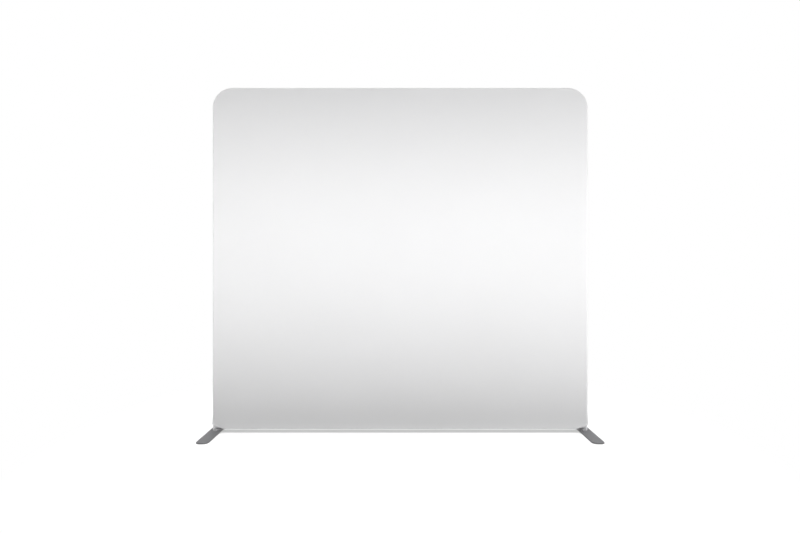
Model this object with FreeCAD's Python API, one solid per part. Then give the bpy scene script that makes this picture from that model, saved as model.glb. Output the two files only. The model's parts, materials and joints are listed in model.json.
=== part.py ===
"""Free-standing fabric wall: a knock-down tube frame in a zipped stretch-fabric cover, on two swivel feet.

Millimetres. X runs along the wall, +Y points to its back and +Z is up.
The origin lies on the floor under the middle of the wall.
"""

import FreeCAD, Part
import math
import os
from collections import namedtuple

Vector = FreeCAD.Vector

# Overall size of the dressed wall
WALL_WIDTH = 2500.0
WALL_HEIGHT = 2290.0
TOP_CORNER_RADIUS = 132.0
HEM_HEIGHT = 14.0

# Fabric cover, with a raised hem at each bottom corner
FABRIC_THICKNESS = 0.8
FABRIC_CLEARANCE = 0.3
HEM_RUN = 95.0
HEM_RISE = 30.0

# Frame tubes
TUBE_DIAMETER = 32.0
TUBE_WALL = 1.2
BEND_TOP_LEG = 90.0
TEE_LENGTH = 240.0

# Centre post
POST_DIAMETER = 25.0
POST_WALL = 1.2
TEE_COLLAR_LENGTH = 15.0
TEE_SPIGOT_LENGTH = 50.0

# Inner connectors, each riveted into one tube and pushed into the next
CONNECTOR_WALL = 1.8
CONNECTOR_CLEARANCE = 0.1
CONNECTOR_INSERTION = 60.0

# Snap buttons and their spring clips
BUTTON_DIAMETER = 8.0
BUTTON_CLEARANCE = 0.2
BUTTON_PROUD = 2.5
BUTTON_CHAMFER = 1.0
SPRING_WIDTH = 6.0
SPRING_THICKNESS = 0.5
SPRING_CLEARANCE = 0.15

# Rivets
RIVET_DIAMETER = 4.0
RIVET_CLEARANCE = 0.1
RIVET_HEAD_DIAMETER = 8.0
RIVET_HEAD_HEIGHT = 1.4
RIVET_TAIL_LENGTH = 1.0

# Bottom corner connectors
CORNER_RISE = 30.0
CORNER_REACH = 45.0
CORNER_WEB = 4.0

# Feet
FOOT_LENGTH = 450.0
FOOT_WIDTH = 80.0
FOOT_THICKNESS = 6.0
FOOT_CORNER_RADIUS = 30.0
FOOT_EDGE_ROUND = 1.5
PIN_DIAMETER = 20.0
PIN_LENGTH = 60.0
PIN_CLEARANCE = 0.05
PIN_HEADROOM = 2.0
PIN_CHAMFER = 2.0
SCREW_DIAMETER = 8.0
SCREW_HEAD_DIAMETER = 16.0
SCREW_LENGTH = 22.0
SCREW_CLEARANCE = 0.1
SCREW_SINK = 0.3

# Zipper across the back of the cover, just above the bottom tube
ZIP_HEIGHT = 64.0
ZIP_END_MARGIN = 60.0
ZIP_EXPOSURE = 14.0
TAPE_WIDTH = 34.0
TAPE_THICKNESS = 0.6
CHAIN_END_MARGIN = 10.0
CHAIN_WIDTH = 6.2
CHAIN_THICKNESS = 2.6
CHAIN_GAP = 1.2
CHAIN_CHAMFER = 0.6
STOP_LENGTH = 4.0
STOP_OVERHANG = 0.5
SLIDER_LENGTH = 14.0
SLIDER_HEAD_WIDTH = 12.0
SLIDER_TAIL_WIDTH = 9.6
SLIDER_WALL = 1.1
SLIDER_CLEARANCE = 0.35
SLIDER_FLANGE = 1.0
DIVIDER_THICKNESS = 0.7
DIVIDER_LENGTH = 4.0
BRIDGE_LENGTH = 8.0
BRIDGE_WIDTH = 2.4
BRIDGE_WALL = 1.2
PULL_LENGTH = 32.0
PULL_WIDTH = 9.0
PULL_THICKNESS = 1.5
PULL_CLEARANCE = 0.3
PULL_WINDOW_LENGTH = 7.0
PULL_EYE_DIAMETER = 4.0

# How far every cutting tool runs past what it cuts
OVERRUN = 5.0

# Directions and turns
RIGHT = Vector(1, 0, 0)
BACK = Vector(0, 1, 0)
FRONT = Vector(0, -1, 0)
UP = Vector(0, 0, 1)
DOWN = Vector(0, 0, -1)
SIDES = {"left": -1, "right": 1}
QUARTER_TURN_DEGREES = 90

# Places that follow from the sizes above
TUBE_RADIUS = TUBE_DIAMETER / 2
POST_RADIUS = POST_DIAMETER / 2
SKIN_INSIDE = TUBE_RADIUS + FABRIC_CLEARANCE
SKIN_OUTSIDE = SKIN_INSIDE + FABRIC_THICKNESS
UPRIGHT_X = WALL_WIDTH / 2 - SKIN_OUTSIDE
TOP_Z = WALL_HEIGHT - SKIN_OUTSIDE
BOTTOM_Z = HEM_HEIGHT + SKIN_OUTSIDE
BEND_RADIUS = TOP_CORNER_RADIUS - SKIN_OUTSIDE
BEND_CENTRE_X = UPRIGHT_X - BEND_RADIUS
BEND_CENTRE_Z = TOP_Z - BEND_RADIUS
TOP_TUBE_END_X = BEND_CENTRE_X - BEND_TOP_LEG
TEE_END_X = TEE_LENGTH / 2
CORNER_SHOULDER_Z = BOTTOM_Z + CORNER_RISE
CORNER_SHOULDER_X = UPRIGHT_X - CORNER_REACH
UPRIGHT_MIDDLE_Z = (CORNER_SHOULDER_Z + BEND_CENTRE_Z) / 2
POST_BOTTOM_Z = BOTTOM_Z + TUBE_RADIUS + TEE_COLLAR_LENGTH
POST_TOP_Z = TOP_Z - TUBE_RADIUS - TEE_COLLAR_LENGTH
POST_MIDDLE_Z = (POST_BOTTOM_Z + POST_TOP_Z) / 2
FASTENER_OFFSET = CONNECTOR_INSERTION / 2
ZIP_END_X = WALL_WIDTH / 2 - ZIP_END_MARGIN
CHAIN_END_X = ZIP_END_X - CHAIN_END_MARGIN
TAPE_Y = SKIN_INSIDE - TAPE_THICKNESS / 2
SLIDER_X = -CHAIN_END_X + SLIDER_LENGTH / 2 + SLIDER_CLEARANCE
WING_OUTER_Y = TAPE_Y + CHAIN_THICKNESS / 2 + SLIDER_CLEARANCE
WING_INNER_Y = TAPE_Y - CHAIN_THICKNESS / 2 - SLIDER_CLEARANCE
PULL_PIVOT_Y = WING_OUTER_Y + SLIDER_WALL + PULL_CLEARANCE + PULL_THICKNESS / 2

# A push-together joint: its butt plane, the way from the riveted to the loose tube, the side that its button
# faces, the outer radius and wall of its tubes, and the two tubes' names, the first None at a casting.
Joint = namedtuple("Joint", "name base along facing radius wall riveted_tube loose_tube")


def tube_joints():
    """Every joint of the frame. The buttons face the inside of the frame, clear of the fabric."""
    joints = []
    for side, sign in SIDES.items():
        inboard = RIGHT * -sign
        outboard = RIGHT * sign
        upright = Vector(sign * UPRIGHT_X, 0, 0)
        corner_branch = Vector(sign * CORNER_SHOULDER_X, 0, BOTTOM_Z)
        bend_end = Vector(sign * TOP_TUBE_END_X, 0, TOP_Z)
        top_tee_end = Vector(sign * TEE_END_X, 0, TOP_Z)
        bottom_tee_end = Vector(sign * TEE_END_X, 0, BOTTOM_Z)
        lower, pole = f"{side}_upright_lower", f"{side}_curved_pole"
        top, bottom = f"{side}_top_tube", f"{side}_bottom_tube"
        places = [
            ("corner_up", upright + UP * CORNER_SHOULDER_Z, UP, inboard, None, lower),
            ("corner_in", corner_branch, inboard, UP, None, bottom),
            ("upright", upright + UP * UPRIGHT_MIDDLE_Z, UP, inboard, lower, pole),
            ("bend", bend_end, inboard, DOWN, pole, top),
            ("top_tee", top_tee_end, outboard, DOWN, "top_tee", top),
            ("bottom_tee", bottom_tee_end, outboard, UP, "bottom_tee", bottom),
        ]
        for name, base, along, facing, riveted, loose in places:
            joints.append(Joint(f"{side}_{name}", base, along, facing, TUBE_RADIUS, TUBE_WALL, riveted, loose))
    middle = Vector(0, 0, POST_MIDDLE_Z)
    post_tubes = ("centre_post_lower", "centre_post_upper")
    joints.append(Joint("centre_post", middle, UP, RIGHT, POST_RADIUS, POST_WALL, *post_tubes))
    return joints


def connector_radius(joint):
    """Outer radius of what plugs into the tubes of this joint."""
    return joint.radius - joint.wall - CONNECTOR_CLEARANCE


def connector_bore(joint):
    """Radius of the hollow inside the connector, where the spring clip sits."""
    return connector_radius(joint) - CONNECTOR_WALL


def hollow_tube(start, end, radius, wall):
    """Straight round tube from one point to another."""
    run = end - start
    outer = Part.makeCylinder(radius, run.Length, start, run)
    return outer.cut(Part.makeCylinder(radius - wall, run.Length, start, run))


def cross_hole(joint, offset, diameter):
    """Cutter through the wall that the joint's button faces, at an offset along the joint's axis."""
    start = joint.base + joint.along * offset
    return Part.makeCylinder(diameter / 2, joint.radius + OVERRUN, start, joint.facing)


def button_hole(joint):
    """Cutter for the hole that the snap button stands in."""
    return cross_hole(joint, FASTENER_OFFSET, BUTTON_DIAMETER + 2 * BUTTON_CLEARANCE)


def rivet_hole(joint):
    """Cutter for the hole of the rivet that holds the connector in its own tube."""
    return cross_hole(joint, -FASTENER_OFFSET, RIVET_DIAMETER + 2 * RIVET_CLEARANCE)


def curved_pole(sign):
    """Upper half of an upright, with its quarter bend and a short leg along the top, bent from one tube."""
    foot = Vector(sign * UPRIGHT_X, 0, UPRIGHT_MIDDLE_Z)
    bend_start = Vector(sign * UPRIGHT_X, 0, BEND_CENTRE_Z)
    bend_end = Vector(sign * BEND_CENTRE_X, 0, TOP_Z)
    leg_end = Vector(sign * TOP_TUBE_END_X, 0, TOP_Z)
    circles = [Part.makeCircle(radius, bend_start, UP) for radius in (TUBE_RADIUS, TUBE_RADIUS - TUBE_WALL)]
    disc, hole = [Part.Face(Part.Wire(circle)) for circle in circles]
    bend_centre = Vector(sign * BEND_CENTRE_X, 0, BEND_CENTRE_Z)
    bend = disc.cut(hole).revolve(bend_centre, FRONT * sign, QUARTER_TURN_DEGREES).Solids[0]
    upright = hollow_tube(foot, bend_start, TUBE_RADIUS, TUBE_WALL)
    leg = hollow_tube(bend_end, leg_end, TUBE_RADIUS, TUBE_WALL)
    return upright.fuse([bend, leg]).removeSplitter()


def tee(height, stem):
    """Short frame tube with a welded collar and spigot, which the centre post pushes onto."""
    start = Vector(-TEE_END_X, 0, height)
    middle = Vector(0, 0, height)
    spigot_radius = POST_RADIUS - POST_WALL - CONNECTOR_CLEARANCE
    collar_length = TUBE_RADIUS + TEE_COLLAR_LENGTH
    spigot_length = collar_length + TEE_SPIGOT_LENGTH
    body = Part.makeCylinder(TUBE_RADIUS, TEE_LENGTH, start, RIGHT)
    collar = Part.makeCylinder(POST_RADIUS, collar_length, middle, stem)
    spigot = Part.makeCylinder(spigot_radius, spigot_length, middle, stem)
    tube_bore = Part.makeCylinder(TUBE_RADIUS - TUBE_WALL, TEE_LENGTH, start, RIGHT)
    stem_bore_start = middle + stem * TUBE_RADIUS
    stem_bore = Part.makeCylinder(spigot_radius - CONNECTOR_WALL, spigot_length, stem_bore_start, stem)
    return body.fuse([collar, spigot]).removeSplitter().cut([tube_bore, stem_bore])


def frame_tubes(joints):
    """All tubes of the frame by node name, drilled for the buttons and rivets of the joints they meet in."""
    tubes = {}
    for side, sign in SIDES.items():
        upright_x, tee_x = sign * UPRIGHT_X, sign * TEE_END_X
        bend_x, corner_x = sign * TOP_TUBE_END_X, sign * CORNER_SHOULDER_X
        runs = {
            "upright_lower": (Vector(upright_x, 0, CORNER_SHOULDER_Z), Vector(upright_x, 0, UPRIGHT_MIDDLE_Z)),
            "top_tube": (Vector(bend_x, 0, TOP_Z), Vector(tee_x, 0, TOP_Z)),
            "bottom_tube": (Vector(corner_x, 0, BOTTOM_Z), Vector(tee_x, 0, BOTTOM_Z)),
        }
        for name, (start, end) in runs.items():
            tubes[f"{side}_{name}"] = hollow_tube(start, end, TUBE_RADIUS, TUBE_WALL)
        tubes[f"{side}_curved_pole"] = curved_pole(sign)
    post_ends = [Vector(0, 0, z) for z in (POST_BOTTOM_Z, POST_MIDDLE_Z, POST_TOP_Z)]
    tubes["centre_post_lower"] = hollow_tube(post_ends[0], post_ends[1], POST_RADIUS, POST_WALL)
    tubes["centre_post_upper"] = hollow_tube(post_ends[1], post_ends[2], POST_RADIUS, POST_WALL)
    tubes["top_tee"] = tee(TOP_Z, DOWN)
    tubes["bottom_tee"] = tee(BOTTOM_Z, UP)
    for joint in joints:
        tubes[joint.loose_tube] = tubes[joint.loose_tube].cut(button_hole(joint))
        if joint.riveted_tube:
            tubes[joint.riveted_tube] = tubes[joint.riveted_tube].cut(rivet_hole(joint))
    return tubes


def inner_connector(joint):
    """Sleeve that is riveted into one tube and carries the snap button in the other."""
    start = joint.base - joint.along * CONNECTOR_INSERTION
    end = joint.base + joint.along * CONNECTOR_INSERTION
    sleeve = hollow_tube(start, end, connector_radius(joint), CONNECTOR_WALL)
    return sleeve.cut([button_hole(joint), rivet_hole(joint)])


def button_base(joint):
    """Distance from the tube's axis to the inner end of the button, level with the bore beside the strip."""
    return math.sqrt(connector_bore(joint) ** 2 - (SPRING_WIDTH / 2) ** 2)


def snap_button(joint):
    """Pin that stands out through the sleeve and the tube."""
    centre = joint.base + joint.along * FASTENER_OFFSET
    radius = BUTTON_DIAMETER / 2
    shank_length = joint.radius + BUTTON_PROUD - BUTTON_CHAMFER - button_base(joint)
    shank_start = centre + joint.facing * button_base(joint)
    shank = Part.makeCylinder(radius, shank_length, shank_start, joint.facing)
    tip_start = shank_start + joint.facing * shank_length
    tip = Part.makeCone(radius, radius - BUTTON_CHAMFER, BUTTON_CHAMFER, tip_start, joint.facing)
    return shank.fuse(tip).removeSplitter()


def spring_clip(joint):
    """U-shaped strip of spring steel: one leg under the button, the other along the far side of the bore."""
    across = joint.along.cross(joint.facing)
    near_leg = button_base(joint) - SPRING_CLEARANCE
    far_leg = -near_leg
    bend_outer = near_leg
    bend_inner = bend_outer - SPRING_THICKNESS
    leg_start = FASTENER_OFFSET - BUTTON_DIAMETER / 2
    leg_end = CONNECTOR_INSERTION - SPRING_CLEARANCE - bend_outer

    def at(along, facing):
        start = joint.base - across * (SPRING_WIDTH / 2)
        return start + joint.along * along + joint.facing * facing

    near_outer = (at(leg_start, near_leg), at(leg_end, near_leg))
    near_inner = [at(u, near_leg - SPRING_THICKNESS) for u in (leg_start, leg_end)]
    far_outer = (at(leg_start, far_leg), at(leg_end, far_leg))
    far_inner = [at(u, far_leg + SPRING_THICKNESS) for u in (leg_start, leg_end)]
    edges = [
        Part.LineSegment(near_outer[0], near_outer[1]),
        Part.Arc(near_outer[1], at(leg_end + bend_outer, 0), far_outer[1]),
        Part.LineSegment(far_outer[1], far_outer[0]),
        Part.LineSegment(far_outer[0], far_inner[0]),
        Part.LineSegment(far_inner[0], far_inner[1]),
        Part.Arc(far_inner[1], at(leg_end + bend_inner, 0), near_inner[1]),
        Part.LineSegment(near_inner[1], near_inner[0]),
        Part.LineSegment(near_inner[0], near_outer[0]),
    ]
    profile = Part.Face(Part.Wire([edge.toShape() for edge in edges]))
    return profile.extrude(across * SPRING_WIDTH)


def rivet(joint):
    """Rivet through the tube and the sleeve."""
    centre = joint.base - joint.along * FASTENER_OFFSET
    tail = connector_bore(joint) - RIVET_TAIL_LENGTH
    head_seat = joint.radius + RIVET_CLEARANCE
    radius = RIVET_DIAMETER / 2
    shank = Part.makeCylinder(radius, head_seat - tail, centre + joint.facing * tail, joint.facing)
    head_start = centre + joint.facing * head_seat
    head = Part.makeCone(RIVET_HEAD_DIAMETER / 2, radius, RIVET_HEAD_HEIGHT, head_start, joint.facing)
    return shank.fuse(head).removeSplitter()


def corner_connector(side, sign, joints):
    """Cast bottom corner: it stands on the foot, turns on the foot's pin and plugs into two tubes."""
    leg_base = Vector(sign * UPRIGHT_X, 0, FOOT_THICKNESS)
    branch_base = Vector(sign * UPRIGHT_X, 0, BOTTOM_Z)
    leg = Part.makeCylinder(TUBE_RADIUS, CORNER_SHOULDER_Z - FOOT_THICKNESS, leg_base, UP)
    branch = Part.makeCylinder(TUBE_RADIUS, CORNER_REACH, branch_base, RIGHT * -sign)
    plugs = {joint.name: joint for joint in joints}
    upper, inner = plugs[f"{side}_corner_up"], plugs[f"{side}_corner_in"]
    pin_bore_length = PIN_LENGTH + PIN_HEADROOM
    upper_hollow = leg_base + UP * (pin_bore_length + CORNER_WEB)
    inner_hollow = inner.base + inner.along * CORNER_WEB
    solids = [branch]
    hollows = [Part.makeCylinder(PIN_DIAMETER / 2 + PIN_CLEARANCE, pin_bore_length, leg_base, UP)]
    for joint, hollow in ((upper, upper_hollow), (inner, inner_hollow)):
        solids.append(Part.makeCylinder(connector_radius(joint), CONNECTOR_INSERTION, joint.base, joint.along))
        hollows.append(Part.makeCylinder(connector_bore(joint), CONNECTOR_INSERTION, hollow, joint.along))
        hollows.append(button_hole(joint))
    return leg.fuse(solids).removeSplitter().cut(hollows)


def edges_along(solid, direction):
    """Straight edges of a solid that run along a direction."""
    straight = [edge for edge in solid.Edges if isinstance(edge.Curve, Part.Line)]
    parallel = Part.Precision.confusion()
    return [edge for edge in straight if direction.cross(edge.Curve.Direction).Length < parallel]


def foot_plate(sign):
    """Flat steel plate with rounded corners, drilled and countersunk from below."""
    axis = Vector(sign * UPRIGHT_X, 0, 0)
    corner = axis - Vector(FOOT_WIDTH / 2, FOOT_LENGTH / 2, 0)
    plate = Part.makeBox(FOOT_WIDTH, FOOT_LENGTH, FOOT_THICKNESS, corner)
    plate = plate.makeFillet(FOOT_CORNER_RADIUS, edges_along(plate, UP))
    top_face = max(plate.Faces, key=lambda face: face.CenterOfMass.z)
    plate = plate.makeFillet(FOOT_EDGE_ROUND, top_face.Edges)
    hole_radius = SCREW_DIAMETER / 2 + SCREW_CLEARANCE
    hole = Part.makeCylinder(hole_radius, FOOT_THICKNESS + OVERRUN, axis, UP)
    sink_radius = SCREW_HEAD_DIAMETER / 2 + SCREW_CLEARANCE + SCREW_SINK
    sink = Part.makeCone(sink_radius, hole_radius, sink_radius - hole_radius, axis, UP)
    return plate.cut([hole, sink])


def foot_pin(sign):
    """Round pin that stands on the plate, with a tapped hole in its base."""
    base = Vector(sign * UPRIGHT_X, 0, FOOT_THICKNESS)
    radius = PIN_DIAMETER / 2
    shank_length = PIN_LENGTH - PIN_CHAMFER
    shank = Part.makeCylinder(radius, shank_length, base, UP)
    tip = Part.makeCone(radius, radius - PIN_CHAMFER, PIN_CHAMFER, base + UP * shank_length, UP)
    hole_length = SCREW_SINK + SCREW_LENGTH + SCREW_DIAMETER / 2 - FOOT_THICKNESS
    hole = Part.makeCylinder(SCREW_DIAMETER / 2 + SCREW_CLEARANCE, hole_length, base, UP)
    return shank.fuse(tip).removeSplitter().cut(hole)


def foot_screw(sign):
    """Countersunk screw that holds the pin on the plate from below."""
    base = Vector(sign * UPRIGHT_X, 0, SCREW_SINK)
    head_height = (SCREW_HEAD_DIAMETER - SCREW_DIAMETER) / 2
    head = Part.makeCone(SCREW_HEAD_DIAMETER / 2, SCREW_DIAMETER / 2, head_height, base, UP)
    shank = Part.makeCylinder(SCREW_DIAMETER / 2, SCREW_LENGTH - head_height, base + UP * head_height, UP)
    return head.fuse(shank).removeSplitter()


def ring_sector(centre, start, end):
    """Quarter ring of fabric about a tube's axis, from one direction to another square to it."""
    middle = (start + end).normalize()
    outer = Part.Arc(*[centre + way * SKIN_OUTSIDE for way in (start, middle, end)])
    inner = Part.Arc(*[centre + way * SKIN_INSIDE for way in (end, middle, start)])
    far_side = Part.LineSegment(centre + end * SKIN_OUTSIDE, centre + end * SKIN_INSIDE)
    near_side = Part.LineSegment(centre + start * SKIN_INSIDE, centre + start * SKIN_OUTSIDE)
    return Part.Face(Part.Wire([edge.toShape() for edge in (outer, far_side, inner, near_side)]))


def panel_sheet(facing):
    """Flat part of a panel, bounded by the axes of the frame's tubes, with the rounded top corners."""
    half_turn = BEND_RADIUS * math.cos(math.pi / 4)
    low, shoulder, knuckle, crown = [
        [Vector(sign * x, 0, z) for sign in SIDES.values()]
        for x, z in (
            (UPRIGHT_X, BOTTOM_Z),
            (UPRIGHT_X, BEND_CENTRE_Z),
            (BEND_CENTRE_X + half_turn, BEND_CENTRE_Z + half_turn),
            (BEND_CENTRE_X, TOP_Z),
        )
    ]
    edges = [
        Part.LineSegment(low[0], low[1]),
        Part.LineSegment(low[1], shoulder[1]),
        Part.Arc(shoulder[1], knuckle[1], crown[1]),
        Part.LineSegment(crown[1], crown[0]),
        Part.Arc(crown[0], knuckle[0], shoulder[0]),
        Part.LineSegment(shoulder[0], low[0]),
    ]
    outline = Part.Face(Part.Wire([edge.toShape() for edge in edges]))
    outline.translate(facing * SKIN_INSIDE)
    return outline.extrude(facing * FABRIC_THICKNESS)


def panel_wraps(facing):
    """Quarter rounds by which a panel turns over the uprights, the bends and the top tube to the edge seam."""
    wraps = []
    for sign in SIDES.values():
        outboard = RIGHT * sign
        side = ring_sector(Vector(sign * UPRIGHT_X, 0, BOTTOM_Z), facing, outboard)
        wraps.append(side.extrude(UP * (BEND_CENTRE_Z - BOTTOM_Z)))
        turn = ring_sector(Vector(sign * UPRIGHT_X, 0, BEND_CENTRE_Z), facing, outboard)
        bend_centre = Vector(sign * BEND_CENTRE_X, 0, BEND_CENTRE_Z)
        wraps.append(turn.revolve(bend_centre, FRONT * sign, QUARTER_TURN_DEGREES).Solids[0])
    top = ring_sector(Vector(-BEND_CENTRE_X, 0, TOP_Z), facing, UP)
    wraps.append(top.extrude(RIGHT * (2 * BEND_CENTRE_X)))
    return wraps


def leg_openings():
    """Cutters for the raised hems at the bottom corners, where the legs come out of the cover."""
    cutters = []
    past = (HEM_RUN + OVERRUN) / HEM_RUN
    for sign in SIDES.values():
        start = Vector(sign * (WALL_WIDTH / 2 - HEM_RUN), -SKIN_OUTSIDE - OVERRUN, HEM_HEIGHT)
        end = start + Vector(sign * HEM_RUN * past, 0, HEM_RISE * past)
        corners = [start, end, Vector(end.x, end.y, -OVERRUN), Vector(start.x, start.y, -OVERRUN)]
        outline = Part.Face(Part.makePolygon(corners + corners[:1]))
        cutters.append(outline.extrude(BACK * (2 * (SKIN_OUTSIDE + OVERRUN))))
    return cutters


def front_panel():
    """Front sheet, which also runs under the bottom tube and up the back to the lower zipper tape."""
    wraps = panel_wraps(FRONT)
    for start, end in ((FRONT, DOWN), (DOWN, BACK)):
        under = ring_sector(Vector(-UPRIGHT_X, 0, BOTTOM_Z), start, end)
        wraps.append(under.extrude(RIGHT * (2 * UPRIGHT_X)))
    strip_corner = Vector(-ZIP_END_X, SKIN_INSIDE, BOTTOM_Z)
    strip_height = ZIP_HEIGHT - ZIP_EXPOSURE / 2 - BOTTOM_Z
    wraps.append(Part.makeBox(2 * ZIP_END_X, FABRIC_THICKNESS, strip_height, strip_corner))
    return panel_sheet(FRONT).fuse(wraps).removeSplitter().cut(leg_openings())


def back_panel():
    """Back sheet, cut away along the bottom for the zipper and the strip below it."""
    panel = panel_sheet(BACK).fuse(panel_wraps(BACK)).removeSplitter()
    notch_corner = Vector(-ZIP_END_X, 0, -OVERRUN)
    notch_height = ZIP_HEIGHT + ZIP_EXPOSURE / 2 + OVERRUN
    notch = Part.makeBox(2 * ZIP_END_X, SKIN_OUTSIDE + OVERRUN, notch_height, notch_corner)
    return panel.cut([notch] + leg_openings())


def zipper_strip(sign, end_x, thickness, inner_edge, outer_edge):
    """Long flat bar on one side of the zipper's middle line, between two distances from that line."""
    low = ZIP_HEIGHT + min(sign * inner_edge, sign * outer_edge)
    corner = Vector(-end_x, TAPE_Y - thickness / 2, low)
    return Part.makeBox(2 * end_x, thickness, outer_edge - inner_edge, corner)


def zipper_tape(sign):
    """Woven tape, sewn to the inside of the fabric and ending at its row of teeth."""
    return zipper_strip(sign, ZIP_END_X, TAPE_THICKNESS, CHAIN_WIDTH / 2, TAPE_WIDTH / 2)


def zipper_teeth(sign):
    """One side of the closed coil chain, as the bead that the slider runs on."""
    bead = zipper_strip(sign, CHAIN_END_X, CHAIN_THICKNESS, CHAIN_GAP / 2, CHAIN_WIDTH / 2)
    rims = sorted(edges_along(bead, RIGHT), key=lambda edge: -abs(edge.CenterOfMass.z - ZIP_HEIGHT))
    return bead.makeChamfer(CHAIN_CHAMFER, rims[:2])


def zipper_stops():
    """Crimped stops over both ends of the chain."""
    stops = []
    thickness = CHAIN_THICKNESS + 2 * STOP_OVERHANG
    cap_width = CHAIN_WIDTH + 2 * STOP_OVERHANG
    cap_thickness = (thickness - TAPE_THICKNESS) / 2
    for sign in SIDES.values():
        low_x = min(sign * CHAIN_END_X, sign * (CHAIN_END_X + STOP_LENGTH))
        core_corner = Vector(low_x, TAPE_Y - thickness / 2, ZIP_HEIGHT - CHAIN_WIDTH / 2)
        cap_corner = Vector(low_x, TAPE_Y + TAPE_THICKNESS / 2, ZIP_HEIGHT - cap_width / 2)
        core = Part.makeBox(STOP_LENGTH, thickness, CHAIN_WIDTH, core_corner)
        cap = Part.makeBox(STOP_LENGTH, cap_thickness, cap_width, cap_corner)
        stops.append(core.fuse(cap).removeSplitter())
    return stops


def slider_wing(y, thickness, inset):
    """Tapered plate of the slider, wide at the head where the two rows of teeth part."""
    head_x = SLIDER_X - SLIDER_LENGTH / 2
    tail_x = SLIDER_X + SLIDER_LENGTH / 2
    head_half = SLIDER_HEAD_WIDTH / 2 - inset
    tail_half = SLIDER_TAIL_WIDTH / 2 - inset
    outline = [(head_x, -head_half), (tail_x, -tail_half), (tail_x, tail_half), (head_x, head_half)]
    corners = [Vector(x, y, ZIP_HEIGHT + z) for x, z in outline]
    return Part.Face(Part.makePolygon(corners + corners[:1])).extrude(BACK * thickness)


def zipper_slider():
    """Slider: two wings with turned-in flanges, the divider that joins them and the bridge for the pull."""
    flange_y = TAPE_THICKNESS / 2 + SLIDER_CLEARANCE
    channel = WING_OUTER_Y - TAPE_Y - flange_y
    outer = slider_wing(TAPE_Y + flange_y, channel + SLIDER_WALL, 0)
    outer = outer.cut(slider_wing(TAPE_Y + flange_y, channel, SLIDER_FLANGE))
    inner = slider_wing(WING_INNER_Y - SLIDER_WALL, channel + SLIDER_WALL, 0)
    inner = inner.cut(slider_wing(WING_INNER_Y, channel, SLIDER_FLANGE))
    divider_corner = Vector(SLIDER_X - SLIDER_LENGTH / 2, WING_INNER_Y, ZIP_HEIGHT - DIVIDER_THICKNESS / 2)
    divider_height = WING_OUTER_Y - WING_INNER_Y
    divider = Part.makeBox(DIVIDER_LENGTH, divider_height, DIVIDER_THICKNESS, divider_corner)
    return outer.fuse([inner, divider, pull_bridge()]).removeSplitter()


def pull_bridge():
    """Arch on the outer wing that holds the bar of the pull."""
    room = PULL_THICKNESS + 2 * PULL_CLEARANCE
    corner = Vector(SLIDER_X - BRIDGE_LENGTH / 2, WING_OUTER_Y + SLIDER_WALL, ZIP_HEIGHT - BRIDGE_WIDTH / 2)
    arch = Part.makeBox(BRIDGE_LENGTH, room + BRIDGE_WALL, BRIDGE_WIDTH, corner)
    crown_edges = sorted(edges_along(arch, UP), key=lambda edge: -edge.CenterOfMass.y)[:2]
    arch = arch.makeFillet(BRIDGE_WALL, crown_edges)
    gap = Part.makeBox(BRIDGE_LENGTH - 2 * BRIDGE_WALL, room, BRIDGE_WIDTH, corner + RIGHT * BRIDGE_WALL)
    return arch.cut(gap)


def zipper_pull():
    """Tab with a round bar under the bridge, a window for the bridge and an eye at its end."""
    low_y = PULL_PIVOT_Y - PULL_THICKNESS / 2
    half_width = PULL_WIDTH / 2
    tab_corner = Vector(SLIDER_X, low_y, ZIP_HEIGHT - half_width)
    tab = Part.makeBox(PULL_LENGTH, PULL_THICKNESS, PULL_WIDTH, tab_corner)
    end_edges = sorted(edges_along(tab, BACK), key=lambda edge: -edge.CenterOfMass.x)[:2]
    tab = tab.makeFillet(half_width - PULL_THICKNESS, end_edges)
    bar_start = Vector(SLIDER_X, PULL_PIVOT_Y, ZIP_HEIGHT - half_width)
    bar = Part.makeCylinder(PULL_THICKNESS / 2, PULL_WIDTH, bar_start, UP)
    window_half = BRIDGE_WIDTH / 2 + PULL_CLEARANCE
    window_corner = Vector(SLIDER_X + PULL_THICKNESS / 2, low_y, ZIP_HEIGHT - window_half)
    window = Part.makeBox(PULL_WINDOW_LENGTH, PULL_THICKNESS, 2 * window_half, window_corner)
    eye_centre = Vector(SLIDER_X + PULL_LENGTH - half_width, low_y, ZIP_HEIGHT)
    eye = Part.makeCylinder(PULL_EYE_DIAMETER / 2, PULL_THICKNESS, eye_centre, BACK)
    return tab.fuse(bar).removeSplitter().cut([window, eye])


def build():
    """Every piece by node name."""
    joints = tube_joints()
    riveted = [joint for joint in joints if joint.riveted_tube]
    nodes = frame_tubes(joints)
    for joint in riveted:
        nodes[f"{joint.name}_connector"] = inner_connector(joint)
    for joint in joints:
        nodes[f"{joint.name}_button"] = snap_button(joint)
    nodes["button_springs"] = Part.makeCompound([spring_clip(joint) for joint in joints])
    nodes["connector_rivets"] = Part.makeCompound([rivet(joint) for joint in riveted])
    for side, sign in SIDES.items():
        nodes[f"{side}_corner_connector"] = corner_connector(side, sign, joints)
        nodes[f"{side}_foot_plate"] = foot_plate(sign)
        nodes[f"{side}_foot_pin"] = foot_pin(sign)
        nodes[f"{side}_foot_screw"] = foot_screw(sign)
    nodes["cover_front_panel"] = front_panel()
    nodes["cover_back_panel"] = back_panel()
    for edge, sign in (("upper", 1), ("lower", -1)):
        nodes[f"zipper_tape_{edge}"] = zipper_tape(sign)
        nodes[f"zipper_teeth_{edge}"] = zipper_teeth(sign)
    nodes["zipper_stops"] = Part.makeCompound(zipper_stops())
    nodes["zipper_slider"] = zipper_slider()
    nodes["zipper_pull"] = zipper_pull()
    return nodes


def main():
    os.makedirs("parts", exist_ok=True)
    for name, shape in build().items():
        shape.exportStep(f"parts/{name}.step")


if __name__ == "__main__":
    main()
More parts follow.
